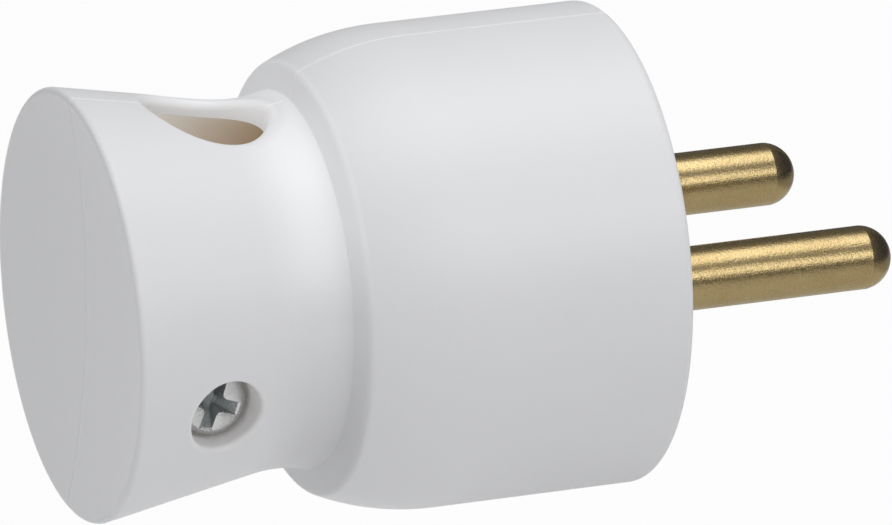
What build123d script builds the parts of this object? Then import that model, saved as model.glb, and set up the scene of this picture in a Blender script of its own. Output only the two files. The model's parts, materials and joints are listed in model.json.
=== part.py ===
"""Two-pole and earth mains plug, rewirable, with its cable outlet at the side.

The frame is the plug as it sits in a wall socket: +X runs along the pins towards the socket,
+Z points out of the cable outlet, and the two pins lie side by side along Y.
The origin is the centre of the front face. Millimetres throughout.
"""

import os
from math import asin, atan2, cos, sin, sqrt, tan

from build123d import *

# Contacts, as the socket needs them
PIN_DIA = 4.8
PIN_LENGTH = 19.0  # in front of the face
PIN_PITCH = 19.0
PIN_DOME = 2.15  # height of the domed tip, a little flatter than a half ball
EARTH_DROP = 10.0  # earth hole below the line of the pins
EARTH_PIN_DIA = 4.8  # the socket's own pin, which enters the earth contact
EARTH_PIN_REACH = 14.0

# Outside of the shell
BODY_DIA = 36.3
BODY_STRAIGHT = 16.3  # straight length behind the front face
SHOULDER_RADIUS = 19.3  # the body then rounds in along this arc
SHOULDER_RUN = 8.45
SHOULDER_DEPTH = 0.55  # axial depth of the face of the step down to the neck
SHOULDER_STEP = 3.95  # the foot of the step lies this far inside the body's outside
NECK_RUN = 2.47  # foot of the step to the neck, the narrowest place before it is hollowed round
NECK_FALL = 0.66  # the neck lies this far inside the foot of the step
HOLLOW_FROM_FOOT = 0.05  # the round hollow at the neck starts this far behind the foot
FLARE_LENGTH = 14.8  # neck to the rear rim, before the rim is rounded
FLARE_RISE = 2.78  # the rear rim stands this far outside the neck
REAR_DISH = 1.5  # the rear face is hollow by this much in the middle
DISH_FLAT = 1.5  # radius of the flat spot in the middle of the hollow
FRONT_EDGE = 0.6  # roundings of the outside, front to rear
SHOULDER_EDGE = 0.7
REAR_EDGE = 0.4
WALL = 1.35
PARTING_GROOVE = 0.08  # width and depth of the fine line where the halves meet

# Cable outlet, square to the slanting side of the flare
OUTLET_DIA = 9.4
OUTLET_BEHIND_NECK = 4.13  # where its axis crosses the height OUTLET_HEIGHT
OUTLET_HEIGHT = 14.0
OUTLET_LIP = 0.65

# How the halves are held together
SCREW_FROM_REAR = 7.47
SCREW_BELOW_AXIS = 4.5
SCREW_HEAD_DIA = 5.2
SCREW_HEAD_HEIGHT = 2.0
SCREW_DIA = 3.0
SCREW_CORE_DIA = 2.4  # in the part that cuts its own thread
SCREW_GRIP = 9.2  # plastic under the head, down to the parting plane
SCREW_BITE = 8.0  # length in the far half
SCREW_WELL_DIA = 5.8
SCREW_WELL_LIP = 0.4  # rounding of the well's mouth
KEEPER_DIA = 5.6  # fibre ring that keeps the loosened screw in its half
KEEPER_THICK = 0.7
BOSS_WALL = 1.4
LIP_HEIGHT = 1.0  # overlap of the halves along the parting line
LIP_FROM_OUTLET = 1.0  # the overlap stops this far from the cable outlet
HOOK_WIDTH = 3.0
HOOK_THICK = 1.5
HOOK_REACH = 3.4  # past the parting plane
HOOK_BARB = 0.6
HOOK_BARB_LENGTH = 1.2
HOOK_BEHIND_PLATE = 1.5

# Contact carrier and the plate behind it
FLANGE_THICK = 4.0
RIB_FROM_FRONT = 1.2  # ring in the shell that holds the flange
RIB_WIDTH = 1.2
RIB_HEIGHT = 1.0
PIN_SEAT = 7.0  # where the collars of the contacts seat, behind the front face
SHANK_DIA = 5.4  # thicker part of each pin inside the carrier, flush with its face
COLLAR_DIA = 7.8
COLLAR_THICK = 1.4
SEAT_WALL = 1.2
PLATE_DIA = 28.6
PLATE_THICK = 2.0
POST_DIA = 6.4
POST_ABOVE_AXIS = 8.5
BARRIER_THICK = 1.6
BARRIER_HEIGHT = 10.0
BARRIER_LENGTH = 8.0
PLATE_SCREW_LENGTH = 5.0

# Rear ends of the pins, with their wire clamps
TAIL_DIA = 6.0
TAIL_LENGTH = 10.5
WIRE_DIA = 3.2
WIRE_DEPTH = 7.5
CLAMP_SCREW_DIA = 3.0
CLAMP_SCREW_HEAD_DIA = 4.8
CLAMP_SCREW_HEAD_HEIGHT = 1.7
CLAMP_SCREW_FLAT = 0.5  # depth of the flat that the screw's head seats on
CLAMP_SCREW_FROM_END = 3.6
DRIVER_SLOT = 0.7

# Earth contact
EARTH_WALL = 0.6
EARTH_SLIT = 0.5
EARTH_SLIT_LENGTH = 4.8
EARTH_LEAD_IN = 1.4  # the carrier stands this far in front of the contact
RING_WIDTH = 0.8
RING_THICK = 0.5
TONGUE_WIDTH = 5.8
TONGUE_THICK = 1.4
TONGUE_LENGTH = 7.2
WASHER_LENGTH = 6.4
WASHER_THICK = 0.9
EARTH_SCREW_DIA = 3.5
EARTH_SCREW_HEAD_DIA = 5.8
EARTH_SCREW_LENGTH = 5.0

# Cord grip inside the outlet
CABLE_DIA = 9.0
GRIP_BELOW_OUTLET = 9.4  # middle of the grip, below OUTLET_HEIGHT
GRIP_FROM_REAR = 11.97
GRIP_BAR_WIDTH = 5.0
GRIP_BAR_THICK = 2.4
GRIP_BAR_ARCH = 1.0
GRIP_REACH = 2.0  # the grip's bosses stand this far past the parting plane
GRIP_SCREW_DIA = 2.6
GRIP_SCREW_HEAD_DIA = 4.4
GRIP_SCREW_HEAD_HEIGHT = 1.5
GRIP_SCREW_BITE = 7.0
CRADLE_THICK = 2.4

# Clearances
FLANGE_FIT = 0.1
SEAT_FIT = 0.05
THREAD_FIT = 0.02
LIP_FIT = 0.1

# Places worked out from the sizes above
BODY_R = BODY_DIA / 2
FOOT_R = BODY_R - SHOULDER_STEP
NECK_R = FOOT_R - NECK_FALL
REAR_R = NECK_R + FLARE_RISE
PIN_R = PIN_DIA / 2
COLLAR_R = COLLAR_DIA / 2
BORE_R = BODY_R - WALL
ARC_CENTRE = (-BODY_STRAIGHT, BODY_R - SHOULDER_RADIUS)
EDGE_X = -(BODY_STRAIGHT + SHOULDER_RUN)
FOOT_X = EDGE_X - SHOULDER_DEPTH
NECK_X = FOOT_X - NECK_RUN
REAR_X = NECK_X - FLARE_LENGTH
REACH = 2 * (BODY_DIA + FLARE_LENGTH + BODY_STRAIGHT + SHOULDER_RUN)  # larger than the plug
COLLAR_BACK_X = -(PIN_SEAT + COLLAR_THICK)
PLATE_BACK_X = COLLAR_BACK_X - PLATE_THICK
PIN_SIDES = {"near": -1, "far": 1}  # the near pin lies in the half that the screw enters
FLARE_ANGLE = atan2(FLARE_RISE, FLARE_LENGTH)
NECK_TURN = atan2(NECK_FALL, NECK_RUN) + FLARE_ANGLE
HOLLOW_R = (sqrt(NECK_RUN**2 + NECK_FALL**2) - HOLLOW_FROM_FOOT) / tan(NECK_TURN / 2)
OUTLET_LEAN = (sin(FLARE_ANGLE), 0, cos(FLARE_ANGLE))
OUTLET_POINT = (NECK_X - OUTLET_BEHIND_NECK, 0, OUTLET_HEIGHT)
SCREW_X = REAR_X + SCREW_FROM_REAR
SCREW_Z = -SCREW_BELOW_AXIS
EARTH_Z = -EARTH_DROP
EARTH_R = EARTH_PIN_DIA / 2 + THREAD_FIT
EARTH_OUT_R = EARTH_R + EARTH_WALL
EARTH_BACK_X = -(EARTH_PIN_REACH + EARTH_LEAD_IN)


def rod(radius, start, direction, length):
    """A round bar from a point, along a direction."""
    return Plane(origin=start, z_dir=direction) * Cylinder(
        radius, length, align=(Align.CENTER, Align.CENTER, Align.MIN)
    )


def block(low, high):
    """A box between two corners."""
    size = [b - a for a, b in zip(low, high)]
    return Pos(*low) * Box(*size, align=(Align.MIN,) * 3)


def meet(first, second):
    """Where two straight lines cross, each given by two points."""
    (x1, y1), (x2, y2) = first
    (x3, y3), (x4, y4) = second
    ax, ay, bx, by = x2 - x1, y2 - y1, x4 - x3, y4 - y3
    t = ((x3 - x1) * by - (y3 - y1) * bx) / (ax * by - ay * bx)
    return (x1 + t * ax, y1 + t * ay)


def moved_in(line, inset):
    """A line of the outline, moved square to itself by inset, towards the inside on its left."""
    (x1, y1), (x2, y2) = line
    run, rise = x2 - x1, y2 - y1
    length = sqrt(run * run + rise * rise)
    dx, dy = -rise / length * inset, run / length * inset
    return ((x1 + dx, y1 + dy), (x2 + dx, y2 + dy))


def arc_drop(radius, run):
    """How far an arc falls below its tangent over a run."""
    return radius - sqrt(radius * radius - run * run)


def outline(inset, rounded=False, hollowed=True):
    """Half section of the shell along X, as a face; inset moves the wall in, but not the open front.

    Without the hollow, the flare runs straight on to the step, as the inside does.
    """
    edge = (EDGE_X, BODY_R - arc_drop(SHOULDER_RADIUS, SHOULDER_RUN))
    foot = (FOOT_X, FOOT_R)
    neck = (NECK_X, NECK_R)
    rim = (REAR_X, REAR_R)
    band = moved_in((edge, foot), inset)
    hollow = moved_in((foot, neck), inset)
    flare = moved_in((neck, rim), inset)
    back = moved_in((rim, (REAR_X, 0)), inset)
    radius = SHOULDER_RADIUS - inset
    # the arc keeps its centre; it ends where it meets the moved band
    (x1, y1), (x2, y2) = band
    cx, cy = ARC_CENTRE
    run, rise = x2 - x1, y2 - y1
    a, b = run * run + rise * rise, 2 * (run * (x1 - cx) + rise * (y1 - cy))
    c = (x1 - cx) ** 2 + (y1 - cy) ** 2 - radius * radius
    t = (-b + sqrt(b * b - 4 * a * c)) / (2 * a)
    if abs(t) > 1:
        t = (-b - sqrt(b * b - 4 * a * c)) / (2 * a)
    arc_end = (x1 + t * run, y1 + t * rise)
    half_angle = asin((cx - arc_end[0]) / radius) / 2
    arc_middle = (cx - radius * sin(half_angle), cy + radius * cos(half_angle))
    top = (0, BODY_R - inset)
    arc_start = (-BODY_STRAIGHT, BODY_R - inset)
    heel = meet(flare, back)
    turns = [meet(band, hollow), meet(hollow, flare)] if hollowed else [meet(band, flare)]
    spot = (heel[0] + REAR_DISH, DISH_FLAT)
    half_run = (heel[1] - DISH_FLAT) / 2
    dish_r = (4 * half_run**2 + REAR_DISH**2) / (2 * REAR_DISH)
    dish_middle = (spot[0] - arc_drop(dish_r, half_run), DISH_FLAT + half_run)
    wire = Polyline((0, 0), top, arc_start) + ThreePointArc(arc_start, arc_middle, arc_end)
    wire += Polyline(arc_end, *turns, heel) + ThreePointArc(heel, dish_middle, spot)
    wire += Polyline(spot, (spot[0], 0), (0, 0))
    face = make_face(wire)
    roundings = [(turns[1], HOLLOW_R + inset)] if hollowed else []
    if rounded:
        roundings += [(top, FRONT_EDGE), (arc_end, SHOULDER_EDGE), (heel, REAR_EDGE)]
    for corner, radius in roundings:
        nearest = face.vertices().sort_by_distance((*corner, 0))[0]
        face = fillet(nearest, radius)
    return face


def turned(face):
    """The solid of a half section, turned about X; its seam lies in the parting plane."""
    return revolve(Plane.XZ * face, Axis.X)


def outlet_bore(radius):
    """The hole for the cable, from inside the flare to well outside."""
    start = [p - OUTLET_DIA / 2 * d for p, d in zip(OUTLET_POINT, OUTLET_LEAN)]
    return rod(radius, start, OUTLET_LEAN, 2 * NECK_R)


def half_space(side, depth=REACH):
    """Everything on one side of the parting plane, up to a depth."""
    low, high = sorted((0, side * depth))
    return block((-REACH, low, -REACH), (REACH, high, REACH))


def shell_halves():
    """The two half shells: one with the screw's well, one with its boss and the cord grip's seats."""
    skin = turned(outline(0, rounded=True))
    cavity = turned(outline(WALL, hollowed=False))
    rib = Pos(X=-RIB_FROM_FRONT - RIB_WIDTH / 2) * Rot(Y=90) * (
        Cylinder(BODY_R - WALL / 2, RIB_WIDTH) - Cylinder(BORE_R - RIB_HEIGHT, RIB_WIDTH)
    )
    body = skin - cavity + rib - outlet_bore(OUTLET_DIA / 2)
    body = fillet(mouth_edges(body, OUTLET_POINT, OUTLET_LEAN, OUTLET_DIA / 2), OUTLET_LIP)
    groove = (skin - turned(outline(PARTING_GROOVE))) & block(
        (-REACH, -PARTING_GROOVE / 2, -REACH), (REACH, PARTING_GROOVE / 2, REACH)
    )
    body -= groove - outlet_bore(OUTLET_DIA / 2 + 2 * OUTLET_LIP)
    near, far = body & half_space(-1), body & half_space(1)

    lip_limit = block((-REACH, 0, -REACH), (-FLANGE_THICK - LIP_HEIGHT, LIP_HEIGHT, REACH))
    rebate_limit = block((-REACH, 0, -REACH), (-FLANGE_THICK, LIP_HEIGHT + LIP_FIT, REACH))
    plain_r = OUTLET_DIA / 2 + LIP_FROM_OUTLET
    lip = (turned(outline(WALL / 2)) - cavity - outlet_bore(plain_r)) & lip_limit
    rebate = (turned(outline(WALL / 2 - LIP_FIT)) - cavity - outlet_bore(plain_r - LIP_FIT)) & rebate_limit
    near, far = near + lip, far - rebate

    well_axis = (SCREW_X, 0, SCREW_Z)
    well_r, hole_r = SCREW_WELL_DIA / 2, SCREW_DIA / 2 + SEAT_FIT
    near += rod(well_r + BOSS_WALL, well_axis, (0, -1, 0), BODY_R) & cavity
    near -= rod(well_r, (SCREW_X, -SCREW_GRIP, SCREW_Z), (0, -1, 0), BODY_R)
    near = fillet(mouth_edges(near, well_axis, (0, -1, 0), well_r), SCREW_WELL_LIP)
    near -= rod(hole_r, well_axis, (0, -1, 0), BODY_R)
    near -= rod(KEEPER_DIA / 2 + SEAT_FIT, well_axis, (0, -1, 0), KEEPER_THICK + SEAT_FIT)
    pilot_r = SCREW_CORE_DIA / 2 + THREAD_FIT
    far += rod(hole_r + BOSS_WALL, well_axis, (0, 1, 0), BODY_R) & cavity
    far -= rod(pilot_r, (SCREW_X, -1, SCREW_Z), (0, 1, 0), 1 + SCREW_BITE + SCREW_CORE_DIA / 2)

    near, far = near + hooks(0), far - hooks(LIP_FIT)
    far += grip_seats() & cavity
    far -= [grip_pilot(x) for x in GRIP_SCREWS_X]
    return near, far


def mouth_edges(solid, start, axis, radius):
    """The edges where a bore opens through the outside of the flare."""

    def on_mouth(edge):
        for point in (edge @ 0.0, edge @ 0.5, edge @ 1.0):
            offset = Vector(point) - Vector(start)
            along = Vector(axis)
            if abs((offset - along * offset.dot(along)).length - radius) > 1e-3:
                return False
            flare_r = NECK_R + (NECK_X - point.X) * FLARE_RISE / FLARE_LENGTH
            if sqrt(point.Y**2 + point.Z**2) < flare_r - WALL / 2:
                return False
        return True

    return solid.edges().filter_by(on_mouth)


def hooks(gap):
    """Barbed tongues that hold the front of the halves together; gap grows them for their pockets."""
    front = PLATE_BACK_X - HOOK_BEHIND_PLATE
    made = Part()
    for side in (-1, 1):
        outer = BORE_R - FLANGE_FIT - arc_drop(BORE_R, HOOK_REACH)
        base = sorted((side * (outer - HOOK_THICK), side * (outer + gap)))
        tip = sorted((side * (outer - HOOK_THICK), side * (outer + HOOK_BARB + gap)))
        root = sorted((side * (outer - HOOK_THICK), side * (BORE_R + WALL / 4)))
        back = front - HOOK_WIDTH - gap
        made += block((back, 0, base[0]), (front + gap, HOOK_REACH + gap, base[1]))
        made += block((back, HOOK_REACH - HOOK_BARB_LENGTH - gap, tip[0]), (front + gap, HOOK_REACH + gap, tip[1]))
        if not gap:
            made += block((back, -HOOK_REACH, root[0]), (front, 0, root[1]))
    return made


def driver_cross(radius, depth):
    """A cross recess for a screwdriver, cut down from z = 0."""
    arm = radius * 0.42
    cross = Box(2 * radius * 0.62, arm, depth) + Box(arm, 2 * radius * 0.62, depth)
    return Pos(Z=-depth / 2) * cross


def pan_screw(head_dia, head_height, stem):
    """A pan-head screw with its head's seat at z = 0, its head up and its stem, (radius, length) runs, down."""
    head_r = head_dia / 2
    crown = head_height * 0.45
    head = Cylinder(head_r, head_height, align=(Align.CENTER, Align.CENTER, Align.MIN))
    head = fillet(head.edges().group_by(Axis.Z)[-1], crown)
    head -= Pos(Z=head_height) * driver_cross(head_r, head_height * 0.7)
    top = 0.0
    for radius, length in stem:
        head += Pos(Z=top - length) * Cylinder(radius, length, align=(Align.CENTER, Align.CENTER, Align.MIN))
        top -= length
    return head


def slotted_screw(head_dia, head_height, radius, length):
    """A cheese-head screw with its head's seat at z = 0 and one straight slot."""
    head = Cylinder(head_dia / 2, head_height, align=(Align.CENTER, Align.CENTER, Align.MIN))
    head -= Pos(Z=head_height) * Box(head_dia, DRIVER_SLOT, head_height)
    return head + Pos(Z=-length) * Cylinder(radius, length, align=(Align.CENTER, Align.CENTER, Align.MIN))


def closing_screw():
    """Draws the halves together; it cuts its own thread in the far half's boss."""
    screw = pan_screw(
        SCREW_HEAD_DIA,
        SCREW_HEAD_HEIGHT,
        [(SCREW_DIA / 2, SCREW_GRIP), (SCREW_CORE_DIA / 2, SCREW_BITE)],
    )
    seat = Plane(origin=(SCREW_X, -SCREW_GRIP, SCREW_Z), x_dir=(3, 0, -1), z_dir=(0, -1, 0))
    return seat * screw


def screw_keeper():
    """The fibre ring on the closing screw's stem, in a pocket where the two bosses meet."""
    start = (SCREW_X, 0, SCREW_Z)
    ring = rod(KEEPER_DIA / 2, start, (0, -1, 0), KEEPER_THICK)
    return ring - rod(SCREW_DIA / 2 + THREAD_FIT, start, (0, -1, 0), KEEPER_THICK)


def along_x(y, z, sections):
    """Round sections end to end along X, each (start, end, radius), about the line through y and z."""
    made = Part()
    for start, end, radius in sections:
        made += rod(radius, (min(start, end), y, z), (1, 0, 0), abs(end - start))
    return made


def contact_carrier():
    """The insulating front disc: pin holes, earth hole, seats for the three collars and a screw post."""
    made = along_x(0, 0, [(-FLANGE_THICK, 0, BORE_R - FLANGE_FIT)])
    seats = [(side * PIN_PITCH / 2, 0) for side in PIN_SIDES.values()] + [(0, EARTH_Z)]
    for y, z in seats:
        made += along_x(y, z, [(COLLAR_BACK_X, 0, COLLAR_R + SEAT_FIT + SEAT_WALL)])
    made += along_x(0, POST_ABOVE_AXIS, [(COLLAR_BACK_X, 0, POST_DIA / 2)])
    made &= along_x(0, 0, [(-REACH, 0, BORE_R - FLANGE_FIT)])
    groove_r = BORE_R - RIB_HEIGHT - FLANGE_FIT
    groove = [-RIB_FROM_FRONT - RIB_WIDTH - SEAT_FIT, -RIB_FROM_FRONT + SEAT_FIT]
    made -= along_x(0, 0, [(*groove, BODY_R)]) - along_x(0, 0, [(*groove, groove_r)])
    for y, z in seats:
        made -= along_x(y, z, [(-REACH, -PIN_SEAT, COLLAR_R + SEAT_FIT)])
    for y, z in seats[:2]:
        made -= along_x(y, z, [(-REACH, 1, SHANK_DIA / 2 + SEAT_FIT)])
    made -= along_x(0, EARTH_Z, [(-REACH, 1, EARTH_R + EARTH_WALL / 2)])
    made -= along_x(0, EARTH_Z, [(-REACH, -EARTH_LEAD_IN, EARTH_OUT_R + RING_THICK + SEAT_FIT)])
    pilot = [(COLLAR_BACK_X, -FLANGE_THICK / 2, GRIP_SCREW_DIA / 2 + THREAD_FIT)]
    return made - along_x(0, POST_ABOVE_AXIS, pilot)


def retaining_plate():
    """Closes the carrier from behind and traps the collars; its fin keeps the two wires apart."""
    made = along_x(0, 0, [(PLATE_BACK_X, COLLAR_BACK_X, PLATE_DIA / 2)])
    fin_low = -BARRIER_HEIGHT / 2
    made += block(
        (PLATE_BACK_X - BARRIER_LENGTH, -BARRIER_THICK / 2, fin_low),
        (PLATE_BACK_X, BARRIER_THICK / 2, fin_low + BARRIER_HEIGHT),
    )
    for side in PIN_SIDES.values():
        made -= along_x(side * PIN_PITCH / 2, 0, [(-REACH, 0, TAIL_DIA / 2 + SEAT_FIT)])
    made -= along_x(0, EARTH_Z, [(-REACH, 0, EARTH_OUT_R + SEAT_FIT)])
    return made - along_x(0, POST_ABOVE_AXIS, [(-REACH, 0, GRIP_SCREW_DIA / 2 + SEAT_FIT)])


def plate_screw():
    """Fixes the retaining plate to the carrier's post."""
    length = PLATE_THICK + PLATE_SCREW_LENGTH
    screw = pan_screw(GRIP_SCREW_HEAD_DIA, GRIP_SCREW_HEAD_HEIGHT, [(GRIP_SCREW_DIA / 2, length)])
    return Plane(origin=(PLATE_BACK_X, 0, POST_ABOVE_AXIS), z_dir=(-1, 0, 0)) * screw


TAIL_END_X = COLLAR_BACK_X - TAIL_LENGTH
CLAMP_SCREW_X = TAIL_END_X + CLAMP_SCREW_FROM_END
CLAMP_SEAT_Z = TAIL_DIA / 2 - CLAMP_SCREW_FLAT


def contact_pin(side):
    """A turned brass pin with a domed tip, a collar, and a tail drilled for the wire and its screw."""
    y = side * PIN_PITCH / 2
    dome_x = PIN_LENGTH - PIN_DOME
    ball_r = (PIN_R**2 + PIN_DOME**2) / (2 * PIN_DOME)
    half_angle = asin(PIN_R / ball_r) / 2
    on_dome = (PIN_LENGTH - ball_r * (1 - cos(half_angle)), ball_r * sin(half_angle))
    stem = [(TAIL_END_X, 0), (TAIL_END_X, TAIL_DIA / 2), (COLLAR_BACK_X, TAIL_DIA / 2)]
    stem += [(COLLAR_BACK_X, COLLAR_R), (-PIN_SEAT, COLLAR_R), (-PIN_SEAT, SHANK_DIA / 2)]
    stem += [(0, SHANK_DIA / 2), (0, PIN_R), (dome_x, PIN_R)]
    section = Polyline(*stem) + ThreePointArc((dome_x, PIN_R), on_dome, (PIN_LENGTH, 0))
    section += Line((PIN_LENGTH, 0), (TAIL_END_X, 0))
    made = Pos(Y=y) * turned(make_face(section))
    made -= along_x(y, 0, [(TAIL_END_X, TAIL_END_X + WIRE_DEPTH, WIRE_DIA / 2)])
    made -= rod(CLAMP_SCREW_HEAD_DIA / 2 + FLANGE_FIT, (CLAMP_SCREW_X, y, CLAMP_SEAT_Z), (0, 0, 1), TAIL_DIA)
    return made - rod(CLAMP_SCREW_DIA / 2 + THREAD_FIT, (CLAMP_SCREW_X, y, 0), (0, 0, 1), TAIL_DIA)


def wire_screws():
    """The two screws that clamp the wires in the pins' tails, each run in until its head meets the tail."""
    length = CLAMP_SEAT_Z - SEAT_FIT  # to the middle of the wire's hole
    screw = slotted_screw(CLAMP_SCREW_HEAD_DIA, CLAMP_SCREW_HEAD_HEIGHT, CLAMP_SCREW_DIA / 2, length)
    return [Pos(CLAMP_SCREW_X, side * PIN_PITCH / 2, CLAMP_SEAT_Z) * screw for side in PIN_SIDES.values()]


TONGUE_TOP_Z = EARTH_Z + TONGUE_THICK / 2
EARTH_SCREW_X = EARTH_BACK_X - TONGUE_LENGTH / 2 - EARTH_WALL


def earth_contact():
    """A slit brass sleeve for the socket's earth pin, with a collar and a flat tongue for the wire."""
    front = -EARTH_LEAD_IN
    back = EARTH_BACK_X - EARTH_WALL
    made = along_x(0, EARTH_Z, [(back, front, EARTH_OUT_R), (COLLAR_BACK_X, -PIN_SEAT, COLLAR_R)])
    made += block(
        (back - TONGUE_LENGTH, -TONGUE_WIDTH / 2, EARTH_Z - TONGUE_THICK / 2),
        (back + EARTH_WALL / 2, TONGUE_WIDTH / 2, TONGUE_TOP_Z),
    )
    made -= along_x(0, EARTH_Z, [(EARTH_BACK_X, front, EARTH_R)])
    slit_end = front - EARTH_SLIT_LENGTH
    for angle in (45, 135):
        slit = Box(EARTH_SLIT_LENGTH, EARTH_SLIT, 4 * EARTH_OUT_R)
        made -= Pos((front + slit_end) / 2, 0, EARTH_Z) * Rot(X=angle) * slit
    tapped = rod(EARTH_SCREW_DIA / 2 + THREAD_FIT, (EARTH_SCREW_X, 0, 0), (0, 0, -1), REACH)
    return made - tapped


def spring_ring():
    """A split steel ring round the sleeve's fingers, which keeps them gripping the earth pin."""
    middle = -EARTH_LEAD_IN - EARTH_SLIT_LENGTH / 3
    ends = (middle - RING_WIDTH / 2, middle + RING_WIDTH / 2)
    ring = along_x(0, EARTH_Z, [(*ends, EARTH_OUT_R + RING_THICK)])
    ring -= along_x(0, EARTH_Z, [(*ends, EARTH_OUT_R + THREAD_FIT)])
    split_low = (ends[0], -RING_THICK, EARTH_Z - 2 * EARTH_OUT_R)
    return ring - block(split_low, (ends[1], RING_THICK, EARTH_Z))


def earth_washer():
    """The clamp washer under the earth screw's head; its two edges turn down past the tongue."""
    half_length = WASHER_LENGTH / 2
    inner = TONGUE_WIDTH / 2 + SEAT_FIT
    outer = inner + WASHER_THICK
    low, high = TONGUE_TOP_Z - TONGUE_THICK, TONGUE_TOP_Z + WASHER_THICK
    made = block((EARTH_SCREW_X - half_length, -outer, low), (EARTH_SCREW_X + half_length, outer, high))
    made -= block((-REACH, -inner, low), (REACH, inner, TONGUE_TOP_Z))
    made = fillet(made.edges().filter_by(Axis.X).group_by(Axis.Z)[-1], WASHER_THICK / 2)
    return made - rod(EARTH_SCREW_DIA / 2 + SEAT_FIT, (EARTH_SCREW_X, 0, 0), (0, 0, -1), REACH)


def earth_screw():
    """Clamps the earth wire under the square washer."""
    screw = pan_screw(
        EARTH_SCREW_HEAD_DIA,
        SCREW_HEAD_HEIGHT,
        [(EARTH_SCREW_DIA / 2, EARTH_SCREW_LENGTH)],
    )
    return Pos(EARTH_SCREW_X, 0, TONGUE_TOP_Z + WASHER_THICK) * screw


GRIP_Z = OUTLET_HEIGHT - GRIP_BELOW_OUTLET
GRIP_X = REAR_X + GRIP_FROM_REAR
GRIP_BOSS_R = GRIP_SCREW_DIA / 2 + BOSS_WALL / 2
GRIP_SPREAD = CABLE_DIA / 2 + GRIP_BOSS_R
GRIP_SCREWS_X = [GRIP_X - GRIP_SPREAD, GRIP_X + GRIP_SPREAD]


def grip_pilot(x):
    """The hole that a cord grip screw cuts its thread in."""
    start = (x, -GRIP_REACH, GRIP_Z)
    return rod(GRIP_SCREW_DIA / 2 + THREAD_FIT, start, (0, 1, 0), GRIP_SCREW_BITE + GRIP_SCREW_DIA / 2)


def grip_seats():
    """Two bosses and a cradle in the far half, which the cable lies in under the grip bar."""
    made = Part()
    for x in GRIP_SCREWS_X:
        made += rod(GRIP_BOSS_R, (x, -GRIP_REACH, GRIP_Z), (0, 1, 0), BODY_R)
    low = (GRIP_X - GRIP_SPREAD, 0, GRIP_Z - CRADLE_THICK / 2)
    cradle = block(low, (GRIP_X + GRIP_SPREAD, BODY_R, GRIP_Z + CRADLE_THICK / 2))
    return made + (cradle - rod(CABLE_DIA / 2, (GRIP_X, 0, -REACH), (0, 0, 1), 2 * REACH))


def grip_bar():
    """The arched bar that presses the cable into the cradle."""
    reach = GRIP_SPREAD + GRIP_BOSS_R
    low = (GRIP_X - reach, -GRIP_REACH - GRIP_BAR_THICK, GRIP_Z - GRIP_BAR_WIDTH / 2)
    bar = block(low, (GRIP_X + reach, -GRIP_REACH, GRIP_Z + GRIP_BAR_WIDTH / 2))
    bar = fillet(bar.edges().filter_by(Axis.Y), GRIP_BAR_WIDTH / 2 - SEAT_FIT)
    arch = CABLE_DIA / 2
    arch_r = (arch**2 + GRIP_BAR_ARCH**2) / (2 * GRIP_BAR_ARCH)
    bar -= rod(arch_r, (GRIP_X, arch_r - GRIP_REACH - GRIP_BAR_ARCH, -REACH), (0, 0, 1), 2 * REACH)
    for x in GRIP_SCREWS_X:
        bar -= rod(GRIP_SCREW_DIA / 2 + SEAT_FIT, (x, 0, GRIP_Z), (0, -1, 0), BODY_R)
    return bar


def grip_screws():
    """The two screws of the cord grip."""
    length = GRIP_BAR_THICK + GRIP_SCREW_BITE
    screw = pan_screw(GRIP_SCREW_HEAD_DIA, GRIP_SCREW_HEAD_HEIGHT, [(GRIP_SCREW_DIA / 2, length)])
    top = -GRIP_REACH - GRIP_BAR_THICK
    return [Plane(origin=(x, top, GRIP_Z), z_dir=(0, -1, 0)) * screw for x in GRIP_SCREWS_X]


def all_pieces():
    """Every piece of the plug by name; like screws are one group."""
    near_half, far_half = shell_halves()
    return {
        "screw_side_shell": near_half,
        "boss_side_shell": far_half,
        "closing_screw": closing_screw(),
        "closing_screw_keeper": screw_keeper(),
        "contact_carrier": contact_carrier(),
        "retaining_plate": retaining_plate(),
        "retaining_plate_screw": plate_screw(),
        "near_contact_pin": contact_pin(PIN_SIDES["near"]),
        "far_contact_pin": contact_pin(PIN_SIDES["far"]),
        "wire_clamp_screws": wire_screws(),
        "earth_contact": earth_contact(),
        "earth_spring_ring": spring_ring(),
        "earth_clamp_washer": earth_washer(),
        "earth_clamp_screw": earth_screw(),
        "cord_grip_bar": grip_bar(),
        "cord_grip_screws": grip_screws(),
    }


os.makedirs("parts", exist_ok=True)
for name, piece in all_pieces().items():
    solids = piece if isinstance(piece, list) else piece.solids()
    export_step(Compound(children=[Solid(s.wrapped) for p in solids for s in p.solids()]), f"parts/{name}.step")
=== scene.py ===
import json
from math import cos, pi, radians, sin

import bmesh
import bpy
from mathutils import Matrix, Vector

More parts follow.
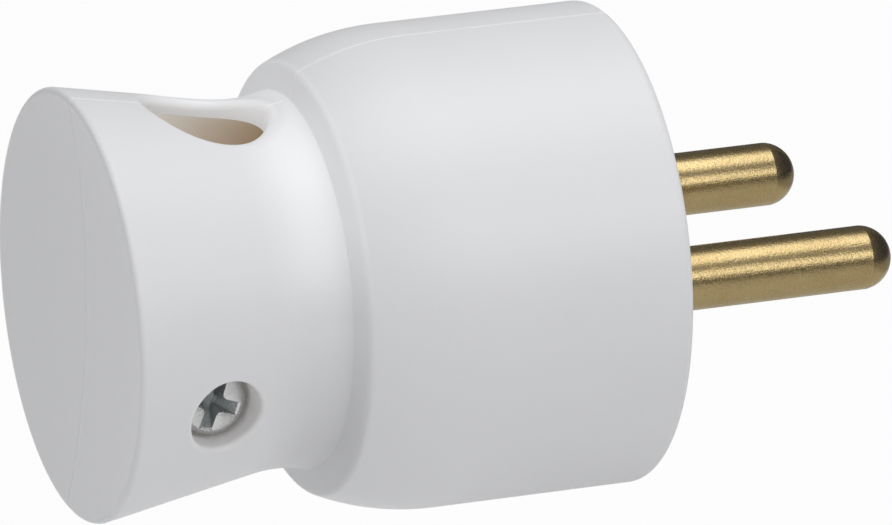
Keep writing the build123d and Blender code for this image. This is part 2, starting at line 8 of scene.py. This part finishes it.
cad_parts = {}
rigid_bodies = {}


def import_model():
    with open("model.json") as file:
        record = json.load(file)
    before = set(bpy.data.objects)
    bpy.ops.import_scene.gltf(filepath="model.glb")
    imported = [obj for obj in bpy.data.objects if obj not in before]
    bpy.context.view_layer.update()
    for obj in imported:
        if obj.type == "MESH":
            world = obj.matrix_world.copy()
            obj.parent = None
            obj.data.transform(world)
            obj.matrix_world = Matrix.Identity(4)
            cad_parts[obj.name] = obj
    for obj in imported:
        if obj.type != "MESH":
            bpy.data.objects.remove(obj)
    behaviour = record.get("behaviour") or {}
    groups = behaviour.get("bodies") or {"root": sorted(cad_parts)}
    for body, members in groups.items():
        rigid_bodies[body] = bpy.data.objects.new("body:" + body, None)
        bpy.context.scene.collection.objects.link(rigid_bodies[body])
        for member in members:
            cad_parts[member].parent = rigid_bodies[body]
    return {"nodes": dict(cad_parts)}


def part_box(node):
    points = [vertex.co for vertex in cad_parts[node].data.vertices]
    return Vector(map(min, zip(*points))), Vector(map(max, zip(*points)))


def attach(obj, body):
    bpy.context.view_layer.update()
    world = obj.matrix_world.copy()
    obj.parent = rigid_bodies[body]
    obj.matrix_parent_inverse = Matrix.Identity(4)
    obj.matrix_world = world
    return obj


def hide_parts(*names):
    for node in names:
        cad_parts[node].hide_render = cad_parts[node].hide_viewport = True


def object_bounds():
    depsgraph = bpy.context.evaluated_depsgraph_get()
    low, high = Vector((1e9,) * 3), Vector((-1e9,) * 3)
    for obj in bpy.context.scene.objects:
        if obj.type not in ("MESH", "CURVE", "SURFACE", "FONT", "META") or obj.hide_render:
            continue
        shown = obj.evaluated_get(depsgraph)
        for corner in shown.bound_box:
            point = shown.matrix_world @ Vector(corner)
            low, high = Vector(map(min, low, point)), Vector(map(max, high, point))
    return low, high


for leftover in list(bpy.data.objects):
    bpy.data.objects.remove(leftover)
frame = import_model()
cad_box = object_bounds()
node = frame["nodes"]


# Half shells
# Two moulded halves in satin white plastic that meet along the plug's axis, one screw holding them.
# The mould leaves a faint grain and slow flow clouds, and a paler line along the joint is a painted highlight.
# Painted light glows in the joint's groove, the screw's well, the inside, the outlet's mouth and the neck's top; the
# inside and the neck's lower step have painted shade in their colour.

class Thread:
    """A value on its way through a finish. Sums on threads add Math nodes; make() adds any other node."""

    def __init__(self, tree, socket=None):
        self.tree, self.socket = tree, socket

    def make(self, kind, settings=None, out=0, **values):
        """Adds a node and gives one of its outputs; its inputs go by name, or by number after an i."""
        added = self.tree.nodes.new(kind)
        for name, value in (settings or {}).items():
            setattr(added, name, value)
        for name, value in values.items():
            socket = added.inputs[int(name[1:])] if name[1:].isdigit() else added.inputs[name.replace("_", " ")]
            if isinstance(value, Thread):
                self.tree.links.new(value.socket, socket)
            else:
                socket.default_value = value
        return Thread(self.tree, added.outputs[out])

    def maths(self, operation, first, second):
        return self.make("ShaderNodeMath", {"operation": operation}, i0=first, i1=second)

    def vectors(self, operation, first, second=(0, 0, 0), out=0):
        return self.make("ShaderNodeVectorMath", {"operation": operation}, out, i0=first, i1=second)

    def __add__(self, other):
        return self.maths("ADD", self, other)

    def __sub__(self, other):
        return self.maths("SUBTRACT", self, other)

    def __rsub__(self, other):
        return self.maths("SUBTRACT", other, self)

    def __mul__(self, other):
        return self.maths("MULTIPLY", self, other)

    def __pow__(self, other):
        return self.maths("POWER", self, other)

    def __gt__(self, other):
        return self.maths("GREATER_THAN", self, other)

    def __lt__(self, other):
        return self.maths("LESS_THAN", self, other)

    def span(self, low, high, curve="LINEAR"):
        """How far this value has gone from low to high, kept between 0 and 1."""
        return self.make("ShaderNodeMapRange", {"interpolation_type": curve}, Value=self, From_Min=low, From_Max=high)

    def ramp(self, *stops):
        """A grey that runs through (place, grey) stops while this value goes from 0 to 1."""
        made = self.make("ShaderNodeValToRGB", Fac=self)
        elements = made.socket.node.color_ramp.elements
        while len(elements) < len(stops):
            elements.new(0.5)
        for element, (place, grey) in zip(elements, stops):
            element.position, element.color = place, (grey, grey, grey, 1)
        return made

    def blend(self, first, second):
        """Two colours, mixed by this value."""
        return self.make("ShaderNodeMix", {"data_type": "RGBA"}, out=2, i0=self, i6=first, i7=second)


def finish_of(name):
    """A new material, the place on the object in metres to start a finish from, and its shader."""
    material = bpy.data.materials.new(name)
    material.use_nodes = True
    tree = material.node_tree
    return material, Thread(tree).make("ShaderNodeTexCoord", out=3), tree.nodes["Principled BSDF"]


def feed(shader, **values):
    """Sets or links a shader's sockets."""
    for name, value in values.items():
        socket = shader.inputs[name.replace("_", " ")]
        if isinstance(value, Thread):
            value.tree.links.new(value.socket, socket)
        else:
            socket.default_value = value


def noise(place, scale, detail=2.0, rough=0.5):
    return place.make("ShaderNodeTexNoise", Vector=place, Scale=scale, Detail=detail, Roughness=rough)


def bump(height, strength, distance):
    return height.make("ShaderNodeBump", Strength=strength, Distance=distance, Height=height)


def from_line(place, across, through=(0, 0, 0)):
    """Distance from a line along one axis, through a point; across is 1 for the two other axes."""
    offset = place.vectors("SUBTRACT", place, through)
    return place.vectors("LENGTH", place.vectors("MULTIPLY", offset, across), out=1)


def dress(name, material):
    """Gives a carried-over piece its finish."""
    for held in node[name].material_slots:
        held.material = material


white, place, shader = finish_of("satin_white_moulding")
cloud = noise(place, 90.0)
grain = noise(place, 5200.0, 3.0, 0.6)
x, y, z = (place.make("ShaderNodeSeparateXYZ", out=axis, Vector=place) for axis in range(3))

# the cable outlet: up runs out along its bore
outlet_point, outlet_lean = (-0.0319, 0.0, 0.0140), (0.1846, 0.0, 0.9828)
bore_radius, lip_radius, bore_foot = 0.0047, 0.0054, -0.0024
offset = place.vectors("SUBTRACT", place, outlet_point)
up = place.vectors("DOT_PRODUCT", offset, outlet_lean, out=1)
off = place.vectors("LENGTH", offset, out=1)
from_bore = (off * off - up * up) ** 0.5
in_mouth = (up > bore_foot) * from_bore.span(lip_radius, bore_radius)

# the screw's well, from its lip to the seat of the head
screw_middle = (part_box("closing_screw")[0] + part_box("closing_screw")[1]) / 2
from_screw = from_line(place, (1, 0, 1), screw_middle)
well_radius, well_lip, past_lip, well_foot = 0.0028, 0.00335, 0.0034, -0.0088
above_foot = y < well_foot
in_well = (from_screw < past_lip) * above_foot

# the inside: nearer to the axis than the outside's radius, which is held as a share of 20 mm, less the wall
rear_rim, front_ring, full_radius, wall = -0.0427, -0.006, 0.02, 0.0013
dish_middle, dish_bend = -0.0403, 6.24
from_axis = from_line(place, (0, 1, 1))
along = x.span(rear_rim, 0.0)
outside = along.ramp(
    (0.0, 0.816), (0.292, 0.700), (0.340, 0.6907), (0.4075, 0.710), (0.420, 0.810), (0.52, 0.884), (0.618, 0.9075)
)
on_rear = x < dish_middle - from_axis * from_axis * dish_bend
inside = (from_axis < outside * full_radius - wall) * (1.0 - in_well) * (1.0 - on_rear) * (x < front_ring)
deeper = x.span(-0.034, -0.022)

# the neck with its step: painted light on its upper part, painted shade on its lower part
at_neck = along.ramp((0.26, 0.0), (0.345, 0.8), (0.403, 0.85), (0.409, 1.0), (0.421, 1.0), (0.430, 0.0))
upper, lower = z.span(0.0022, 0.0085), z.span(0.001, -0.009)
clear_of_mouth = from_bore.span(0.0050, 0.0062)

# colour, with a painted highlight along the joint and painted shade on the neck's lower step
painted_joint_highlight = y.span(0.0, 0.00025).ramp((0.0, 0.0), (0.16, 0.0), (0.4, 1.0), (0.7, 1.0), (1.0, 0.0))
# painted shade: the neck's lower step is made up to 18 % darker
tone = (cloud * 0.03 + grain * 0.02 + 0.965 + painted_joint_highlight * 0.05) * (1.0 - at_neck * lower * 0.18)
outer = place.make("ShaderNodeVectorMath", {"operation": "SCALE"}, i0=(0.867, 0.871, 0.887), Scale=tone)
# painted shade: the inside's colour, greyer near the front and browner deeper in
painted_inside_shade = deeper.blend((0.66, 0.65, 0.63, 1), (0.49, 0.37, 0.235, 1))

# painted light as glow, from the joint's groove to the outlet, each laid over the one before
groove_half = 0.00005
in_groove = y * y < groove_half**2
forward, outward = x.span(-0.0366, -0.0285), up.span(-0.0022, 0.0002)
# painted light in the joint's groove, lifting its shade
painted_groove_light = in_groove.blend((0, 0, 0, 1), (0.09, 0.09, 0.09, 1))
# painted light: glow on the neck's top, clear of the outlet's mouth
painted_neck_light = (at_neck * upper * clear_of_mouth).blend(painted_groove_light, (0.105, 0.106, 0.108, 1))
# painted light in the screw's well, warm
painted_well_light = (above_foot * from_screw.span(well_lip, well_radius)).blend(painted_neck_light, (0.07, 0.064, 0.058, 1))
# painted light inside the shells, grey near the front and brown deeper in
painted_inside_light = inside.blend(painted_well_light, deeper.blend((0.215, 0.210, 0.202, 1), (0.078, 0.044, 0.012, 1)))
# painted light in the outlet's mouth, stronger toward the front
painted_mouth_light = (outward * (forward * 0.7 + 0.3)).blend((0.02, 0.02, 0.02, 1), (0.19, 0.19, 0.19, 1))

joint_edge = bump(y.span(0.00004, 0.00030, "SMOOTHSTEP"), 1.0, 0.00010)
feed(
    shader,
    Base_Color=(inside * (1.0 - in_mouth)).blend(outer, painted_inside_shade),
    Emission_Color=in_mouth.blend(painted_inside_light, painted_mouth_light),
    Emission_Strength=1.0,
    Roughness=cloud * 0.10 + grain * 0.06 + 0.36,
    IOR=1.5,
    Normal=place.make("ShaderNodeBump", Strength=0.06, Distance=0.00005, Height=grain, Normal=joint_edge),
)
dress("screw_side_shell", white)
dress("boss_side_shell", white)

# Contact carrier, retaining plate and cord grip bar
# Inner mouldings in a harder, matt white plastic, a shade greyer than the shells; the carrier's disc closes the front.

inner_white, place, shader = finish_of("matt_grey_white_moulding")
cloud = noise(place, 160.0)
grain = noise(place, 4200.0, 3.0, 0.6)
feed(
    shader,
    Base_Color=cloud.blend((0.70, 0.70, 0.69, 1), (0.76, 0.76, 0.75, 1)),
    Roughness=grain * 0.12 + 0.50,
    Normal=bump(grain, 0.12, 0.00005),
)
for name in ("contact_carrier", "retaining_plate", "cord_grip_bar"):
    dress(name, inner_white)

# Contact pins and earth contact
# Turned from brass rod and left plain: a fine grain from drawing and tumbling, drawn out along the pin,
# with the tone of handled brass, browner in the hollows of the grain.

brass, place, shader = finish_of("tumbled_brass")
drawn = place.make("ShaderNodeMapping", Vector=place, Scale=(0.22, 1.0, 1.0))
pits = noise(place, 5000.0, 3.0, 0.7)
lines = noise(drawn, 9000.0, 2.0, 0.7)
stain = noise(place, 260.0, 3.0)
tarnish = (stain * 0.5 + pits * 0.5).ramp((0.38, 0.0), (0.72, 1.0))
feed(
    shader,
    Base_Color=tarnish.blend((0.525, 0.405, 0.202, 1), (0.42, 0.305, 0.140, 1)),
    Metallic=1.0,
    Roughness=pits * 0.16 + stain * 0.08 + 0.14,
    Normal=bump(pits * 0.7 + lines * 0.3, 0.42, 0.00006),
)
for name in ("near_contact_pin", "far_contact_pin", "earth_contact"):
    dress(name, brass)

# Screws and washers
# Steel, zinc plated bright: bluish white with a faint yellow bloom, scuffed where a driver has turned them.

zinc, place, shader = finish_of("bright_zinc_plate")
bloom = noise(place, 700.0, 3.0)
scuff = noise(place.make("ShaderNodeMapping", Vector=place, Scale=(1.0, 1.0, 0.15)), 6000.0, 2.0, 0.7)
feed(
    shader,
    Base_Color=bloom.blend((0.70, 0.72, 0.75, 1), (0.78, 0.77, 0.72, 1)),
    Metallic=1.0,
    Roughness=bloom * 0.14 + scuff * 0.12 + 0.12,
    Normal=bump(scuff, 0.25, 0.00004),
)
for name in (
    "retaining_plate_screw",
    "wire_clamp_screws",
    "earth_clamp_washer",
    "earth_clamp_screw",
    "cord_grip_screws",
):
    dress(name, zinc)

# Closing screw
# A pan-head steel screw at the bottom of its well, plated like the others; it draws the far half to the near one.
# Its head has a tapered cross recess with painted shade in it, darker and less metallic, and the end of its stem a
# coarse thread cut for plastic.

head_radius, head_height, crown_foot, crown_rounding, head_edge = 0.0026, 0.00206, 0.0015, 0.0005, 0.00006
stem_radius, stem_length, core_radius, core_start, core_end = 0.0015, 0.0090, 0.0012, 0.0094, 0.0164
screw_length, tip_radius = 0.0172, 0.0007
mouth_reach, mouth_half, mouth_rounding, mouth_height = 0.00222, 0.00050, 0.00055, 0.0022
foot_reach, foot_half, foot_rounding, foot_height = 0.00060, 0.00030, 0.00015, 0.0007
recess_shade_from, recess_shade_to, recess_shade_radius = 0.0002, 0.0019, 0.0022
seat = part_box("closing_screw")[1].y - screw_length
out, arm = Vector((0, -1, 0)), Vector((3, 0, -1)).normalized()
stand = Matrix((arm, out.cross(arm), out)).transposed().to_4x4()
stand.translation = Vector((screw_middle.x, seat, screw_middle.z))

driven, place, shader = finish_of("driven_zinc_plate")
bloom = noise(place, 900.0, 3.0)
scuff = noise(place, 5200.0, 3.0, 0.7)
above_seat = seat - place.make("ShaderNodeSeparateXYZ", out=1, Vector=place)
# painted shade: the cross recess, between these depths and within this radius, is painted dark and made less metallic
in_recess = (above_seat < recess_shade_to) * (above_seat > recess_shade_from)
in_recess *= from_line(place, (1, 0, 1), screw_middle) < recess_shade_radius
plated = bloom.blend((0.52, 0.53, 0.55, 1), (0.64, 0.63, 0.60, 1))
painted_recess_shade = scuff.blend((0.20, 0.22, 0.225, 1), (0.32, 0.34, 0.345, 1))
feed(
    shader,
    Base_Color=in_recess.blend(plated, painted_recess_shade),
    Metallic=1.0 - in_recess * 0.7,
    Roughness=bloom * 0.14 + scuff * 0.12 + 0.14,
    Normal=bump(scuff, 0.35, 0.00005),
)


def laid(name, vertices, faces):
    """An object from points in a frame of its own, put where the screw stands."""
    mesh = bpy.data.meshes.new(name)
    mesh.from_pydata([stand @ Vector(v) for v in vertices], [], faces)
    made = bpy.data.objects.new(name, mesh)
    bpy.context.scene.collection.objects.link(made)
    return made


def spun(name, profile, steps):
    """A turned solid from (radius, height) points; the first and last lie on the axis."""
    vertices = [(0, 0, profile[0][1]), (0, 0, profile[-1][1])]
    rings = profile[1:-1]
    for radius, height in rings:
        vertices += [(radius * cos(2 * pi * i / steps), radius * sin(2 * pi * i / steps), height) for i in range(steps)]
    faces = []
    for i in range(steps):
        j = (i + 1) % steps
        faces.append((0, 2 + i, 2 + j))
        last = 2 + (len(rings) - 1) * steps
        faces.append((1, last + j, last + i))
        for k in range(len(rings) - 1):
            low, high = 2 + (k + 1) * steps, 2 + k * steps
            faces.append((high + i, low + i, low + j, high + j))
    return laid(name, vertices, faces)


def quarter_turn(centre, radius):
    """Points on a quarter circle about (centre, centre), on the side of the origin, from below it to beside it."""
    angles = [radians(t) for t in range(0, 91, 15)]
    return [(centre - radius * sin(a), centre - radius * cos(a)) for a in angles]


def cross_outline(reach, half_width, rounding, height):
    """The recess's outline at a height, the corners between its arms rounded off."""
    quarter = [(reach, -half_width), (reach, half_width)] + quarter_turn(half_width + rounding, rounding)
    points = []
    for _ in range(4):
        points += [(u, v, height) for u, v in quarter]
        quarter = [(-v, u) for u, v in quarter]
    return points


def flattened(held):
    """The object with its modifiers worked into a plain mesh."""
    seen = held.evaluated_get(bpy.context.evaluated_depsgraph_get())
    mesh = bpy.data.meshes.new_from_object(seen)
    held.modifiers.clear()
    held.data = mesh
    return held


crown = [
    (head_radius - crown_rounding + crown_rounding * sin(radians(t)), crown_foot + crown_rounding * cos(radians(t)))
    for t in range(0, 91, 15)
]
head = [(0, head_height), (0.0008, head_height - 0.00002), *crown]
head += [(head_radius, head_edge), (head_radius - head_edge, 0)]
stem = [(stem_radius, 0), (stem_radius, -stem_length), (core_radius, -core_start), (core_radius, -core_end)]
tip = [(tip_radius, -screw_length), (0, -screw_length)]
closing = spun("closing_screw_turned", head + stem + tip, 72)

mouth = cross_outline(mouth_reach, mouth_half, mouth_rounding, mouth_height)
foot = cross_outline(foot_reach, foot_half, foot_rounding, foot_height)
count = len(mouth)
sides = [(i, count + i, count + (i + 1) % count, (i + 1) % count) for i in range(count)]
ends = [tuple(range(count)), tuple(reversed(range(count, 2 * count)))]
cutter = laid("driver_cross", mouth + foot, ends + sides)
cut = closing.modifiers.new("recess", "BOOLEAN")
cut.operation, cut.object, cut.solver = "DIFFERENCE", cutter, "EXACT"
soften = closing.modifiers.new("worn_edges", "BEVEL")
soften.width, soften.segments, soften.limit_method, soften.angle_limit = 0.00005, 2, "ANGLE", radians(35)
flattened(closing)
bpy.data.objects.remove(cutter)

coil = bpy.data.node_groups.new("thread_ridge", "GeometryNodeTree")
inputs = {}
for name, kind, value in (
    ("Radius", "NodeSocketFloat", 0.00115),
    ("Ridge", "NodeSocketFloat", 0.00042),
    ("Height", "NodeSocketFloat", 0.0066),
    ("Turns", "NodeSocketFloat", 6.5),
    ("Finish", "NodeSocketMaterial", driven),
):
    inputs[coil.interface.new_socket(name, in_out="INPUT", socket_type=kind).identifier] = value
coil.interface.new_socket("Thread", in_out="OUTPUT", socket_type="NodeSocketGeometry")
given = coil.nodes.new("NodeGroupInput").outputs
path = coil.nodes.new("GeometryNodeCurveSpiral")
path.inputs["Resolution"].default_value = 28
section = coil.nodes.new("GeometryNodeCurvePrimitiveCircle")
section.inputs["Resolution"].default_value = 3
swept = coil.nodes.new("GeometryNodeCurveToMesh")
swept.inputs["Fill Caps"].default_value = True
whole = coil.nodes.new("GeometryNodeRealizeInstances")
coated = coil.nodes.new("GeometryNodeSetMaterial")
ended = coil.nodes.new("NodeGroupOutput")
for source, target in (
    (given["Radius"], path.inputs["Start Radius"]),
    (given["Radius"], path.inputs["End Radius"]),
    (given["Height"], path.inputs["Height"]),
    (given["Turns"], path.inputs["Rotations"]),
    (given["Ridge"], section.inputs["Radius"]),
    (path.outputs[0], swept.inputs["Curve"]),
    (section.outputs[0], swept.inputs["Profile Curve"]),
    (swept.outputs[0], whole.inputs[0]),
    (whole.outputs[0], coated.inputs["Geometry"]),
    (given["Finish"], coated.inputs["Material"]),
    (coated.outputs[0], ended.inputs[0]),
):
    coil.links.new(source, target)
ridge = bpy.data.objects.new("closing_screw_thread", bpy.data.meshes.new("closing_screw_thread"))
bpy.context.scene.collection.objects.link(ridge)
run = ridge.modifiers.new("thread", "NODES")
run.node_group = coil
for identifier, value in inputs.items():
    run[identifier] = value
flattened(ridge)
ridge.data.transform(stand @ Matrix.Translation((0, 0, -core_end)))

joined = bmesh.new()
joined.from_mesh(closing.data)
joined.from_mesh(ridge.data)
joined.to_mesh(closing.data)
joined.free()
bpy.data.objects.remove(ridge)
closing.data.materials.clear()
closing.data.materials.append(driven)
for face in closing.data.polygons:
    face.use_smooth, face.material_index = True, 0
closing.data.set_sharp_from_angle(angle=radians(35))
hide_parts("closing_screw")
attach(closing, "root")

# Spring ring and keeper ring
# A split ring of plain spring steel round the earth sleeve, and a red-brown fibre ring on the closing screw.

spring, place, shader = finish_of("blued_spring_steel")
heat = noise(place, 900.0)
feed(
    shader,
    Base_Color=heat.blend((0.30, 0.31, 0.34, 1), (0.44, 0.43, 0.42, 1)),
    Metallic=1.0,
    Roughness=heat * 0.15 + 0.28,
)
dress("earth_spring_ring", spring)

fibre, place, shader = finish_of("pressed_red_fibre")
felt = noise(place, 3800.0, 4.0, 0.7)
feed(
    shader,
    Base_Color=felt.blend((0.26, 0.08, 0.05, 1), (0.42, 0.17, 0.11, 1)),
    Roughness=felt * 0.2 + 0.65,
    Normal=bump(felt, 0.3, 0.00005),
)
dress("closing_screw_keeper", fibre)

# Floor
# A wide pale sheet well below the plug, which hangs free as if its pins were held.

def sheet(name, corners, material):
    """A flat stage piece between four corners, in metres."""
    mesh = bpy.data.meshes.new(name)
    mesh.from_pydata(corners, [], [(0, 1, 2, 3)])
    mesh.materials.append(material)
    made = bpy.data.objects.new(name, mesh)
    bpy.context.scene.collection.objects.link(made)
    return made


def lying(west, east, south, north, height):
    """Corners of a sheet that lies level."""
    return [(west, south, height), (east, south, height), (east, north, height), (west, north, height)]


def seen_directly(thread):
    """One for what the lens sees, straight on or in a mirror or through glass; nothing for soft light."""
    camera, glossy, through = (thread.make("ShaderNodeLightPath", out=kind) for kind in (0, 3, 6))
    return thread.maths("MINIMUM", camera + glossy + through, 1.0)


level = cad_box[0].z - 0.030
paper, place, shader = finish_of("white_paper")
fleck = noise(place, 40.0)
feed(shader, Base_Color=fleck.blend((0.70, 0.70, 0.70, 1), (0.73, 0.73, 0.73, 1)), Roughness=0.9)
plain = Thread(paper.node_tree, shader.outputs[0])
glow = place.make("ShaderNodeEmission", Color=(1, 1, 1, 1), Strength=1.05)
surface = place.make("ShaderNodeMixShader", i0=seen_directly(place) * 0.85, i1=plain, i2=glow)
paper.node_tree.links.new(surface.socket, paper.node_tree.nodes["Material Output"].inputs["Surface"])
sheet("floor", lying(-4, 4, -4, 4, level), paper)

# Cards
# Felt and card held round the plug, out of the picture, so that the bright metal has something darker to mirror.

def card_finish(name, low, high, tint=(1.0, 1.0, 1.0)):
    """A dull finish that wavers between two greys, or two shades of a tint."""
    made, place, shader = finish_of(name)
    colours = [tuple(part * grey for part in tint) + (1,) for grey in (low, high)]
    feed(shader, Base_Color=noise(place, 300.0).blend(*colours), Roughness=0.9)
    return made


felt_card = card_finish("dark_felt", 0.06, 0.10)
slate_card = card_finish("slate_card", 0.07, 0.11, (0.95, 1.05, 1.6))
dark_card = card_finish("dark_card", 0.15, 0.20)
mat_card = card_finish("mat_card", 0.36, 0.44)
grey_card = card_finish("grey_card", 0.66, 0.74)
pale_card = card_finish("pale_card", 0.70, 0.78)
held_cards = {
    "far_card": (dark_card, [(-0.25, 0.20, level), (0.45, 0.20, level), (0.45, 0.20, 0.53), (-0.25, 0.20, 0.53)]),
    "end_card": (slate_card, [(0.25, -0.45, level), (0.25, 0.45, level), (0.25, 0.45, 0.50), (0.25, -0.45, 0.50)]),
    "low_card": (felt_card, [(-0.1, -0.5, -0.035), (0.5, -0.5, -0.035), (0.5, -0.5, 0.165), (-0.1, -0.5, 0.165)]),
    "high_card": (grey_card, [(-0.1, -0.41, 0.37), (0.5, -0.41, 0.37), (0.5, -0.22, 0.50), (-0.1, -0.22, 0.50)]),
    "under_card": (pale_card, lying(0.0, 0.20, -0.33, 0.1, level + 0.0005)),
    "end_mat": (mat_card, lying(0.085, 0.25, -0.33, 0.2, level + 0.001)),
}
for name, (finish, corners) in held_cards.items():
    held = sheet(name, corners, finish)
    held.visible_camera = held.visible_diffuse = held.visible_transmission = held.visible_shadow = False

# Light
# A large soft box overhead, a small one above the lens, and even light from the room all round.

world = bpy.data.worlds.new("studio")
bpy.context.scene.world = world
world.use_nodes = True
backdrop = world.node_tree.nodes["Background"]
feed(backdrop, Color=(1, 1, 1, 1), Strength=seen_directly(Thread(world.node_tree)) * 0.535 + 0.465)


def soft_box(name, place, aim, wide, deep, power):
    """An oblong soft light at a place, aimed at a point; sizes in metres, power in watts."""
    lamp = bpy.data.lights.new(name, "AREA")
    lamp.shape = "RECTANGLE"
    lamp.size, lamp.size_y, lamp.energy = wide, deep, power
    held = bpy.data.objects.new(name, lamp)
    bpy.context.scene.collection.objects.link(held)
    held.location = place
    held.rotation_mode = "QUATERNION"
    held.rotation_quaternion = (Vector(aim) - Vector(place)).to_track_quat("-Z", "Y")


soft_box("over_box", (0.10, -0.03, 0.80), (0.10, -0.03, 0), 0.80, 0.58, 2.6)
soft_box("lens_box", (0.25, -0.69, 0.40), (0, 0, 0), 0.60, 0.30, 1.1)

# Camera
# A long lens a little above and behind the plug, as in the photograph.

azimuth, elevation, roll, distance = radians(-21.01), radians(20.64), radians(0.74), 0.8746
back = Vector((sin(azimuth) * cos(elevation), -cos(azimuth) * cos(elevation), sin(elevation)))
level_right = Vector((cos(azimuth), sin(azimuth), 0))
level_up = back.cross(level_right)
right = level_right * cos(roll) + level_up * sin(roll)
up = level_up * cos(roll) - level_right * sin(roll)
aim = Vector((-0.013, 0, 0)) + right * 0.000237 - up * 0.000155
lens = bpy.data.cameras.new("long_lens")
lens.lens, lens.sensor_width = 473.6, 36.0
lens.clip_start, lens.clip_end = 0.05, 20.0
camera = bpy.data.objects.new("camera", lens)
bpy.context.scene.collection.objects.link(camera)
turn = Matrix((right, up, back)).transposed()
camera.matrix_world = Matrix.Translation(aim + back * distance) @ turn.to_4x4()
bpy.context.scene.camera = camera
bpy.context.scene.view_settings.view_transform = "Standard"
